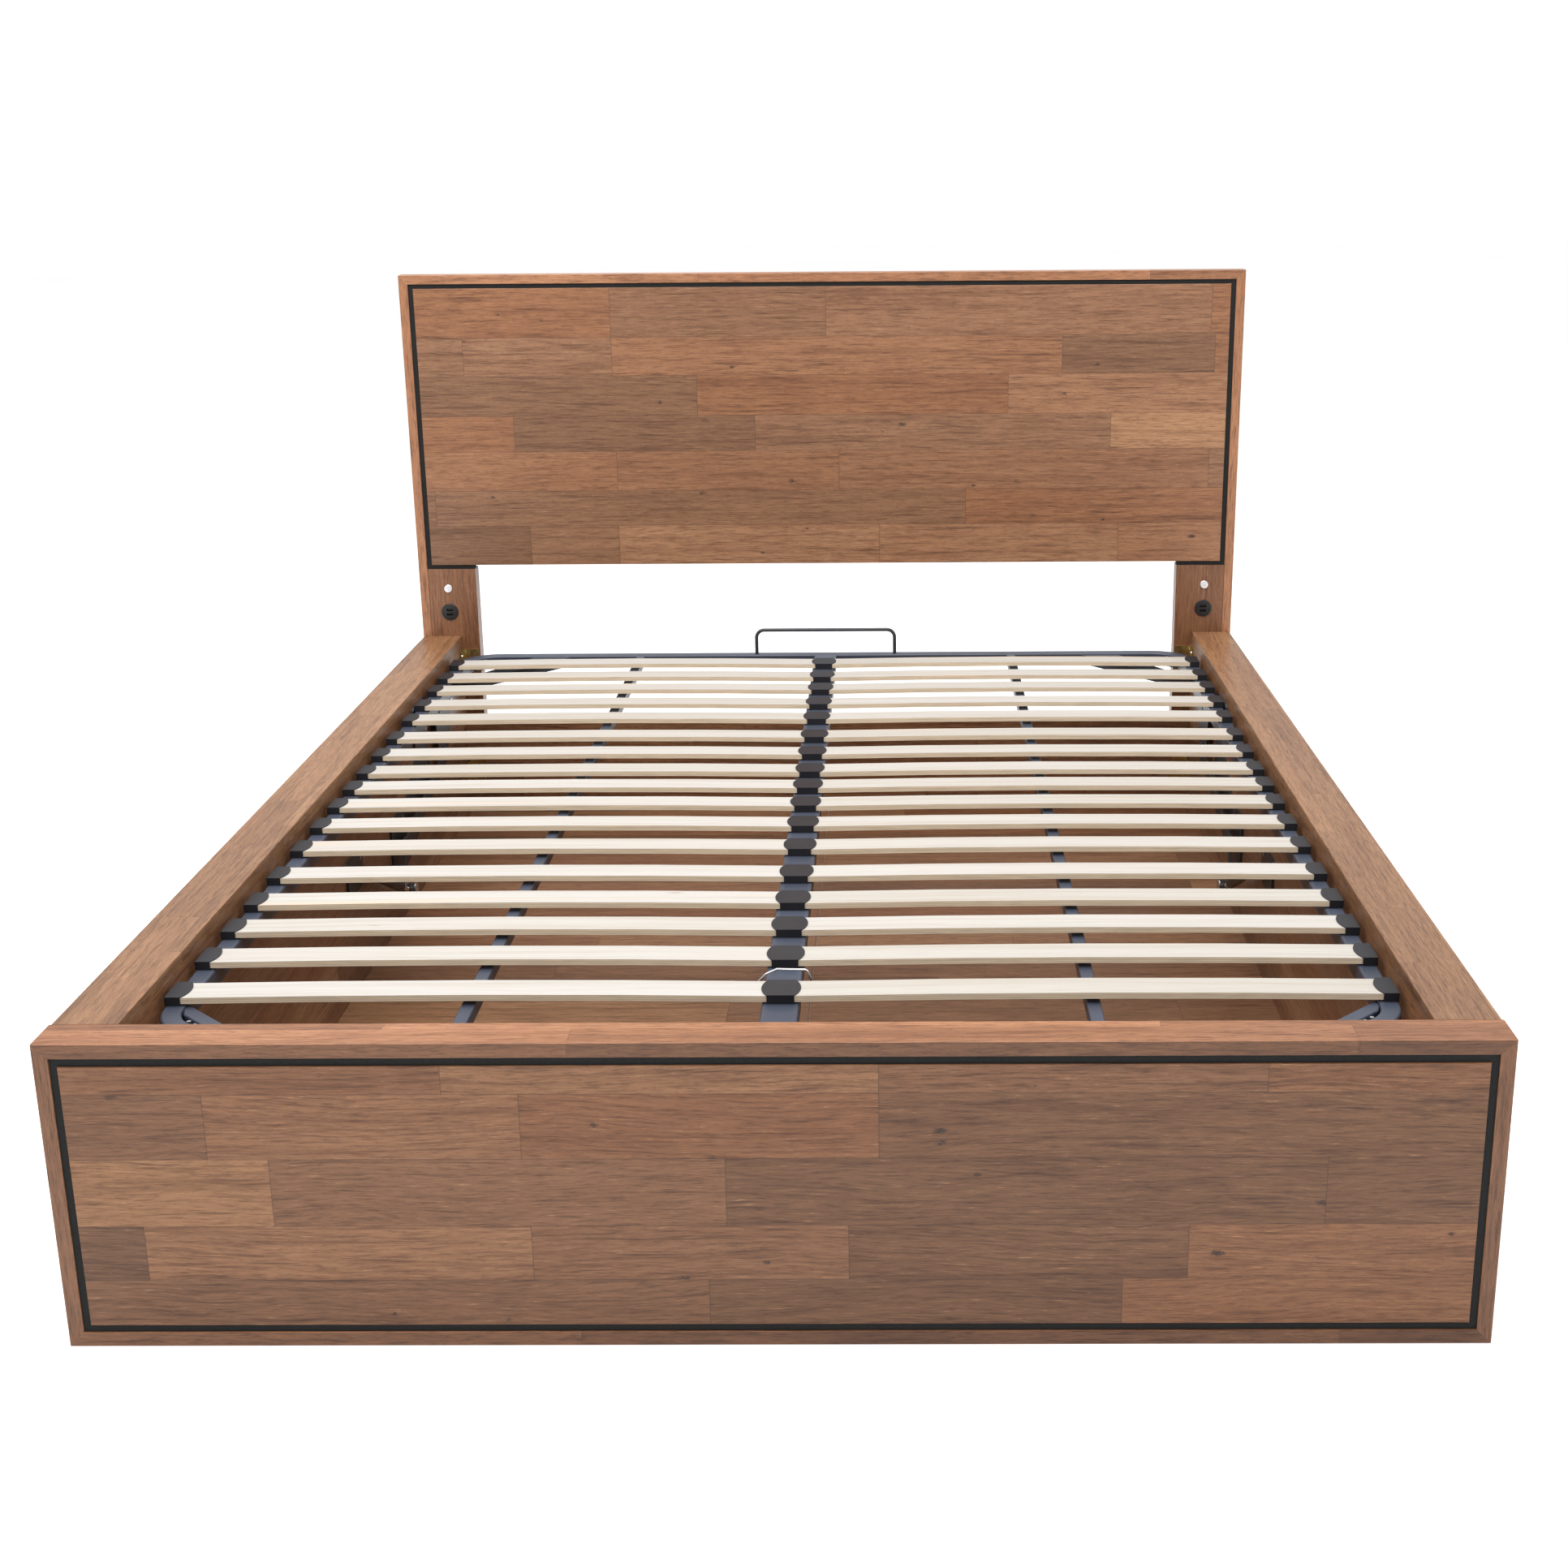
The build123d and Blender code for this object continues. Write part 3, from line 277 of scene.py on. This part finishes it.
mats["rail_top"] = wood("rail_top_board", "Y", "X", RAIL_TONES, pitch=0.045, length=0.52, seed=17.0, flecks=0.5, figure=0.03, coat=0.12, seam=0.7)
mats["rail_side"] = wood("rail_side_board", "Y", "Z", PANEL_TONES, pitch=0.074, length=0.58, seed=44.0, flecks=0.9, figure=0.03, coat=0.10)
mats["cross"] = wood("cross_board", "X", "Z", PANEL_TONES, pitch=0.072, length=0.60, seed=52.0, flecks=0.8, figure=0.03)
mats["store_floor"] = wood("storage_floor_board", "X", "Y", PANEL_TONES, pitch=0.098, length=0.74, seed=61.0, flecks=0.6, figure=0.03, rough=0.45)
mats["back"] = wood("back_board", "X", "Z", FRAME_TONES, pitch=0.12, length=1.1, seed=71.0, flecks=0.3, figure=0.05, rough=0.5, seam=0.8)


# ------------------------------------------------------------------ pale slats
def slat_material():
    k = Mat("birch_slats")
    x, y, z = k.sep(k.obj)
    ys = [0.212, 0.330, 0.438, 0.542, 0.653, 0.774, 0.885, 0.989, 1.086, 1.178, 1.284, 1.393, 1.516, 1.623, 1.733, 1.834, 1.944]
    row = None
    for a, b in zip(ys, ys[1:]):
        g = k.gt(y, (a + b) / 2 + YO)
        row = g if row is None else k.add(row, g)
    sid = k.add(k.mul(row, 5.37), k.mul(k.gt(x, 0.0), 91.7))
    r0, rc = k.white(sid)
    ra, rb, rd = k.sep(rc)
    xp = k.add(x, k.mul(ra, 9.0))
    yp = k.add(y, k.mul(rb, 3.0))
    warp = k.noise(k.comb(k.mul(xp, 1.8), k.mul(yp, 16.0), 0.0), 1.0, 2.0)
    yw = k.add(yp, k.mul(k.math("SUBTRACT", warp, 0.5), 0.03))
    broad = k.noise(k.comb(k.mul(xp, 1.4), k.mul(yw, 110.0), k.mul(z, 60.0)), 1.0, 4.0, 0.6)
    fine = k.noise(k.comb(k.mul(xp, 16.0), k.mul(yw, 620.0), k.mul(z, 300.0)), 1.0, 3.0, 0.6)
    top = k.ramp(r0, [(0.0, s2l(237, 231, 222, 0.49)), (0.35, s2l(242, 237, 230, 0.49)), (0.7, s2l(245, 241, 236, 0.49)), (1.0, s2l(240, 235, 227, 0.49))])
    top = k.mix(1.0, top, k.ramp(broad, [(0.30, (0.90, 0.85, 0.79)), (0.52, (1.0, 1.0, 1.0)), (0.75, (1.03, 1.03, 1.02))]), "MULTIPLY")
    top = k.mix(1.0, top, k.ramp(fine, [(0.32, (0.93, 0.91, 0.88)), (0.56, (1.0, 1.0, 1.0))]), "MULTIPLY")
    # pinkish heartwood streaks in a few slats
    st = k.mul(k.rng(k.noise(k.comb(k.mul(xp, 1.0), k.mul(yw, 42.0), 3.1), 1.0, 2.0), 0.58, 0.70, 0.0, 1.0), k.rng(rd, 0.5, 0.9, 0.0, 0.5))
    top = k.mix(st, top, s2l(214, 178, 145, 0.95))
    # small brown pin knots
    d, cc = k.voronoi(k.comb(k.mul(xp, 5.0), k.mul(yp, 22.0), 0.0), 1.0)
    c1, _, _ = k.sep(cc)
    knot = k.mul(k.rng(d, 0.03, 0.09, 1.0, 0.0), k.gt(c1, 0.93))
    top = k.mix(k.mul(knot, 0.55), top, s2l(150, 108, 74, 0.9))
    # long edges: the bonded layers show as tan and brown lines
    nx, ny, nz = k.sep(k.nrm)
    side = k.rng(k.math("ABSOLUTE", ny), 0.55, 0.85, 0.0, 1.0)
    xa = k.mul(k.math("SUBTRACT", k.math("ABSOLUTE", x), 0.38225), 1 / 0.36925)
    bow = k.mul(k.math("SUBTRACT", 1.0, k.mul(xa, xa)), 0.003)
    zz = k.math("SUBTRACT", k.math("SUBTRACT", z, bow), 0.361)
    lay = k.math("FRACT", k.mul(zz, 1 / 0.00267))
    ply = k.ramp(lay, [(0.0, s2l(196, 168, 136, 0.90)), (0.08, s2l(229, 212, 186, 0.90)), (0.5, s2l(234, 220, 198, 0.90)), (0.56, s2l(214, 192, 162, 0.90)), (1.0, s2l(220, 200, 172, 0.90))])
    ply = k.mix(1.0, ply, k.ramp(fine, [(0.3, 0.86), (0.6, 1.04)]), "MULTIPLY")
    col = k.mix(side, top, ply)
    k.set(Base_Color=col)
    k.put(k.b.inputs["Roughness"], k.rng(fine, 0.2, 0.8, 0.52, 0.40, False))
    k.b.inputs["Specular IOR Level"].default_value = 0.35
    k.bump(k.add(k.mul(fine, 0.6), k.mul(broad, 0.4)), 0.12, 0.0004)
    return k.m


mats["slat"] = slat_material()


# ------------------------------------------------------------------ powder coat, plastics, metals
def coat_paint(name, base, rough=0.40, tint=(1.10, 1.12, 1.16), grit=0.10, metallic=0.0):
    """Satin powder coat: fine orange-peel bump, soft tone drift, upward faces lightened in patches (dusting and painted
    top light).
    """
    k = Mat(name)
    peel = k.noise(k.obj, 850.0, 2.0, 0.5)
    drift = k.noise(k.obj, 6.0, 4.0, 0.6)
    scuff = k.noise(k.comb(*[k.mul(c, m) for c, m in zip(k.sep(k.obj), (40.0, 9.0, 40.0))]), 1.0, 5.0, 0.7)
    c = k.ramp(drift, [(0.25, tuple(v * 0.86 for v in base)), (0.55, base), (0.8, tuple(v * t for v, t in zip(base, tint)))])
    c = k.mix(k.mul(k.rng(scuff, 0.60, 0.78, 0.0, 1.0), 0.35), c, tuple(min(1.0, v * 1.9 + 0.01) for v in base))
    nx, ny, nz = k.sep(k.nrm)
    # upward faces lightened in patches: partly dusting, partly painted top light on the tube tops
    dust_and_top_light = k.mul(k.mul(k.rng(nz, 0.6, 0.95, 0.0, 1.0), k.rng(drift, 0.35, 0.75, 0.2, 1.0)), 0.22)
    c = k.mix(dust_and_top_light, c, tuple(min(1.0, v * 2.2 + 0.012) for v in base))
    k.set(Base_Color=c)
    k.put(k.b.inputs["Roughness"], k.rng(k.add(k.mul(peel, 0.4), k.mul(scuff, 0.6)), 0.25, 0.75, rough - 0.05, rough + 0.12, False))
    k.b.inputs["Metallic"].default_value = metallic
    k.b.inputs["Specular IOR Level"].default_value = 0.55
    k.bump(peel, grit, 0.0003)
    return k.m


def plastic(name, base, rough=0.42, tex=700.0, strength=0.10, ring=None):
    k = Mat(name)
    grain = k.noise(k.obj, tex, 3.0, 0.6)
    drift = k.noise(k.obj, 25.0, 3.0, 0.5)
    c = k.ramp(drift, [(0.3, tuple(v * 0.80 for v in base)), (0.7, tuple(v * 1.22 for v in base))])
    c = k.mix(k.rng(grain, 0.62, 0.80, 0.0, 0.30), c, tuple(v * 2.0 + 0.004 for v in base))
    k.set(Base_Color=c)
    k.put(k.b.inputs["Roughness"], k.rng(grain, 0.3, 0.7, rough - 0.06, rough + 0.08, False))
    k.b.inputs["Specular IOR Level"].default_value = 0.45
    k.bump(grain, strength, 0.0003)
    return k.m


def metal(name, base, base2, rough=0.22, line=(60.0, 900.0, 900.0), spots=0.0):
    """Plated metal: tone drift between two colours, faint drawing lines."""
    k = Mat(name)
    lines = k.noise(k.comb(*[k.mul(c, m) for c, m in zip(k.sep(k.obj), line)]), 1.0, 3.0, 0.6)
    drift = k.noise(k.obj, 38.0, 4.0, 0.65, 0.6)
    c = k.ramp(drift, [(0.30, base2), (0.52, base), (0.72, tuple(min(1.0, v * 1.08) for v in base))])
    c = k.mix(1.0, c, k.ramp(lines, [(0.3, 0.84), (0.6, 1.0)]), "MULTIPLY")
    if spots:
        c = k.mix(k.mul(k.rng(k.noise(k.obj, 260.0, 3.0, 0.7), 0.62, 0.72, 0.0, 1.0), spots), c, tuple(v * 0.35 for v in base2))
    k.set(Base_Color=c)
    k.b.inputs["Metallic"].default_value = 1.0
    k.put(k.b.inputs["Roughness"], k.rng(lines, 0.25, 0.75, rough - 0.06, rough + 0.14, False))
    k.bump(lines, 0.08, 0.0002)
    return k.m


mats["frame_grey"] = coat_paint("blue_grey_powder_coat", s2l(54, 60, 74, 0.9), 0.36)
mats["mech"] = coat_paint("black_powder_coat", s2l(34, 36, 40, 0.9), 0.40, grit=0.12)
mats["brace_dark"] = coat_paint("dark_grey_powder_coat", s2l(50, 54, 62, 0.9), 0.40)
mats["retainer"] = coat_paint("dark_wire_coat", s2l(42, 45, 52, 0.9), 0.34)
mats["cap"] = plastic("charcoal_moulded_caps", s2l(27, 27, 33, 0.80), 0.46, 620.0, 0.14)
mats["reveal"] = plastic("black_reveal_strip", s2l(9, 9, 9, 0.7), 0.80, 500.0, 0.10)
mats["socket"] = plastic("gloss_black_socket", s2l(24, 25, 27, 0.8), 0.22, 900.0, 0.05)
mats["steel"] = metal("bright_plated_steel", (0.74, 0.74, 0.76), (0.52, 0.53, 0.56), 0.24)
mats["rod"] = metal("ground_chrome_rod", (0.80, 0.81, 0.83), (0.66, 0.67, 0.70), 0.14, (900.0, 40.0, 40.0))
mats["zinc"] = metal("yellow_zinc_plate", (0.66, 0.52, 0.22), (0.42, 0.46, 0.20), 0.30, (300.0, 300.0, 60.0), 0.5)

ASSIGN = {
    "head_panel": ["headboard_panel"],
    "foot_panel": ["footboard_panel"],
    "frame_x": ["headboard_top_board"],
    "frame_z": ["headboard_stile_left", "headboard_stile_right"],
    "foot_x": ["footboard_top_board", "footboard_bottom_board"],
    "foot_z": ["footboard_end_left", "footboard_end_right"],
    "leg": ["headboard_leg_left", "headboard_leg_right"],
    "rail_top": ["side_rail_left_top", "side_rail_right_top"],
    "rail_side": ["side_rail_left_outer", "side_rail_right_outer", "side_rail_left_inner", "side_rail_right_inner", "side_rail_battens"],
    "cross": ["head_cross_board"],
    "store_floor": ["storage_floor_left", "storage_floor_right"],
    "back": ["headboard_back_panel", "footboard_back_panel", "headboard_core_battens", "footboard_core_battens"],
    "slat": ["slats_left", "slats_right"],
    "frame_grey": ["platform_side_tubes", "platform_end_tubes", "platform_corner_bends", "platform_centre_rail",
                   "platform_support_bars", "corner_braces"],
    "brace_dark": ["head_braces"],
    "mech": ["corner_brackets", "lift_base_plates", "rear_arms", "front_arms", "platform_lift_brackets",
             "strut_mount_brackets", "gas_strut_cylinders", "gas_strut_fixed_eyes", "gas_strut_rod_eyes"],
    "retainer": ["mattress_retainer"],
    "cap": ["side_caps_left", "side_caps_right", "centre_caps"],
    "reveal": ["headboard_reveal", "footboard_reveal"],
    "socket": ["usb_sockets"],
    "steel": ["headboard_bolts", "rail_bracket_screws", "lift_base_screws", "lift_base_pins", "platform_bracket_pins",
              "front_arm_pins", "corner_bracket_bolts", "pull_loop"],
    "rod": ["gas_strut_rods"],
    "zinc": ["rail_brackets"],
}
done = set()
for key, names in ASSIGN.items():
    for n in names:
        o = nodes.get(n)
        if o is None:
            continue
        done.add(n)
        if len(o.material_slots) == 0:
            o.data.materials.append(mats[key])
        for s in o.material_slots:
            s.material = mats[key]
for n, o in nodes.items():
    if n not in done:
        for s in o.material_slots:
            s.material = mats["mech"]


# ------------------------------------------------------------------ floor, light, camera
def floor_plane():
    me = bpy.data.meshes.new("floor")
    bm = bmesh.new()
    bmesh.ops.create_grid(bm, x_segments=8, y_segments=8, size=30.0)
    bm.to_mesh(me)
    bm.free()
    o = bpy.data.objects.new("floor", me)
    bpy.context.scene.collection.objects.link(o)
    o.location = (0.0, 0.0, -0.0004)
    k = Mat("pale_floor")
    n = k.noise(k.obj, 0.8, 3.0, 0.5)
    k.set(Base_Color=k.ramp(n, [(0.3, (0.90, 0.90, 0.90)), (0.7, (0.93, 0.93, 0.93))]))
    k.b.inputs["Roughness"].default_value = 0.9
    k.b.inputs["Emission Color"].default_value = (1.0, 1.0, 1.0, 1.0)
    k.b.inputs["Emission Strength"].default_value = 0.34
    k.b.inputs["Specular IOR Level"].default_value = 0.1
    me.materials.append(k.m)


floor_plane()

world = bpy.data.worlds.new("studio")
world.use_nodes = True
bpy.context.scene.world = world
bg = world.node_tree.nodes.get("Background") or world.node_tree.nodes.new("ShaderNodeBackground")
bg.inputs["Color"].default_value = (1.0, 1.0, 1.0, 1.0)
bg.inputs["Strength"].default_value = 0.80
wt = world.node_tree
seen = wt.nodes.new("ShaderNodeLightPath")
lift = wt.nodes.new("ShaderNodeMapRange")
lift.inputs[3].default_value, lift.inputs[4].default_value = 0.72, 1.05
wt.links.new(seen.outputs["Is Camera Ray"], lift.inputs[0])
wt.links.new(lift.outputs[0], bg.inputs["Strength"])


def area(name, loc, target, size, watts, colour=(1.0, 1.0, 1.0)):
    d = bpy.data.lights.new(name, "AREA")
    d.shape = "RECTANGLE"
    d.size, d.size_y = size
    d.energy = watts
    d.color = colour
    o = bpy.data.objects.new(name, d)
    bpy.context.scene.collection.objects.link(o)
    o.location = loc
    o.rotation_mode = "QUATERNION"
    o.rotation_quaternion = (Vector(target) - Vector(loc)).to_track_quat("-Z", "Y")
    return o


area("softbox_over_bed", (-0.25, -0.15, 3.4), (0.0, 0.25, 0.3), (3.4, 3.4), 175.0, (1.0, 0.99, 0.975))
area("key", (-2.8, -3.2, 4.2), (0.0, 0.1, 0.3), (3.2, 3.2), 70.0, (1.0, 0.985, 0.965))
area("fill", (3.4, -2.6, 3.0), (0.0, 0.0, 0.4), (3.0, 2.4), 35.0, (0.97, 0.985, 1.0))

bpy.context.scene.view_settings.view_transform = "Standard"

cam_data = bpy.data.cameras.new("camera")
cam = bpy.data.objects.new("camera", cam_data)
bpy.context.scene.collection.objects.link(cam)
bpy.context.scene.camera = cam
cam_data.sensor_fit = "HORIZONTAL"
cam_data.sensor_width = 36.0
cam_data.lens = 2577.82 / 1932.0 * 36.0
cam_data.shift_x = (966.0 - 1077.68) / 1932.0
cam_data.shift_y = (986.11 - 966.0) / 1932.0
cam_data.clip_start, cam_data.clip_end = 0.05, 100.0
pitch, yaw, roll = 0.30064, 0.00947, -0.00723
right = Vector((math.cos(yaw), math.sin(yaw), 0.0))
fwd = Vector((-math.sin(yaw) * math.cos(pitch), math.cos(yaw) * math.cos(pitch), -math.sin(pitch)))
up = right.cross(fwd)
ri = right * math.cos(roll) + up * math.sin(roll)
ui = up * math.cos(roll) - right * math.sin(roll)
rot = Matrix((ri, ui, -fwd)).transposed()
cam.matrix_world = Matrix.Translation((0.13957, -3.25572, 1.35418)) @ rot.to_4x4()

bpy.context.view_layer.update()
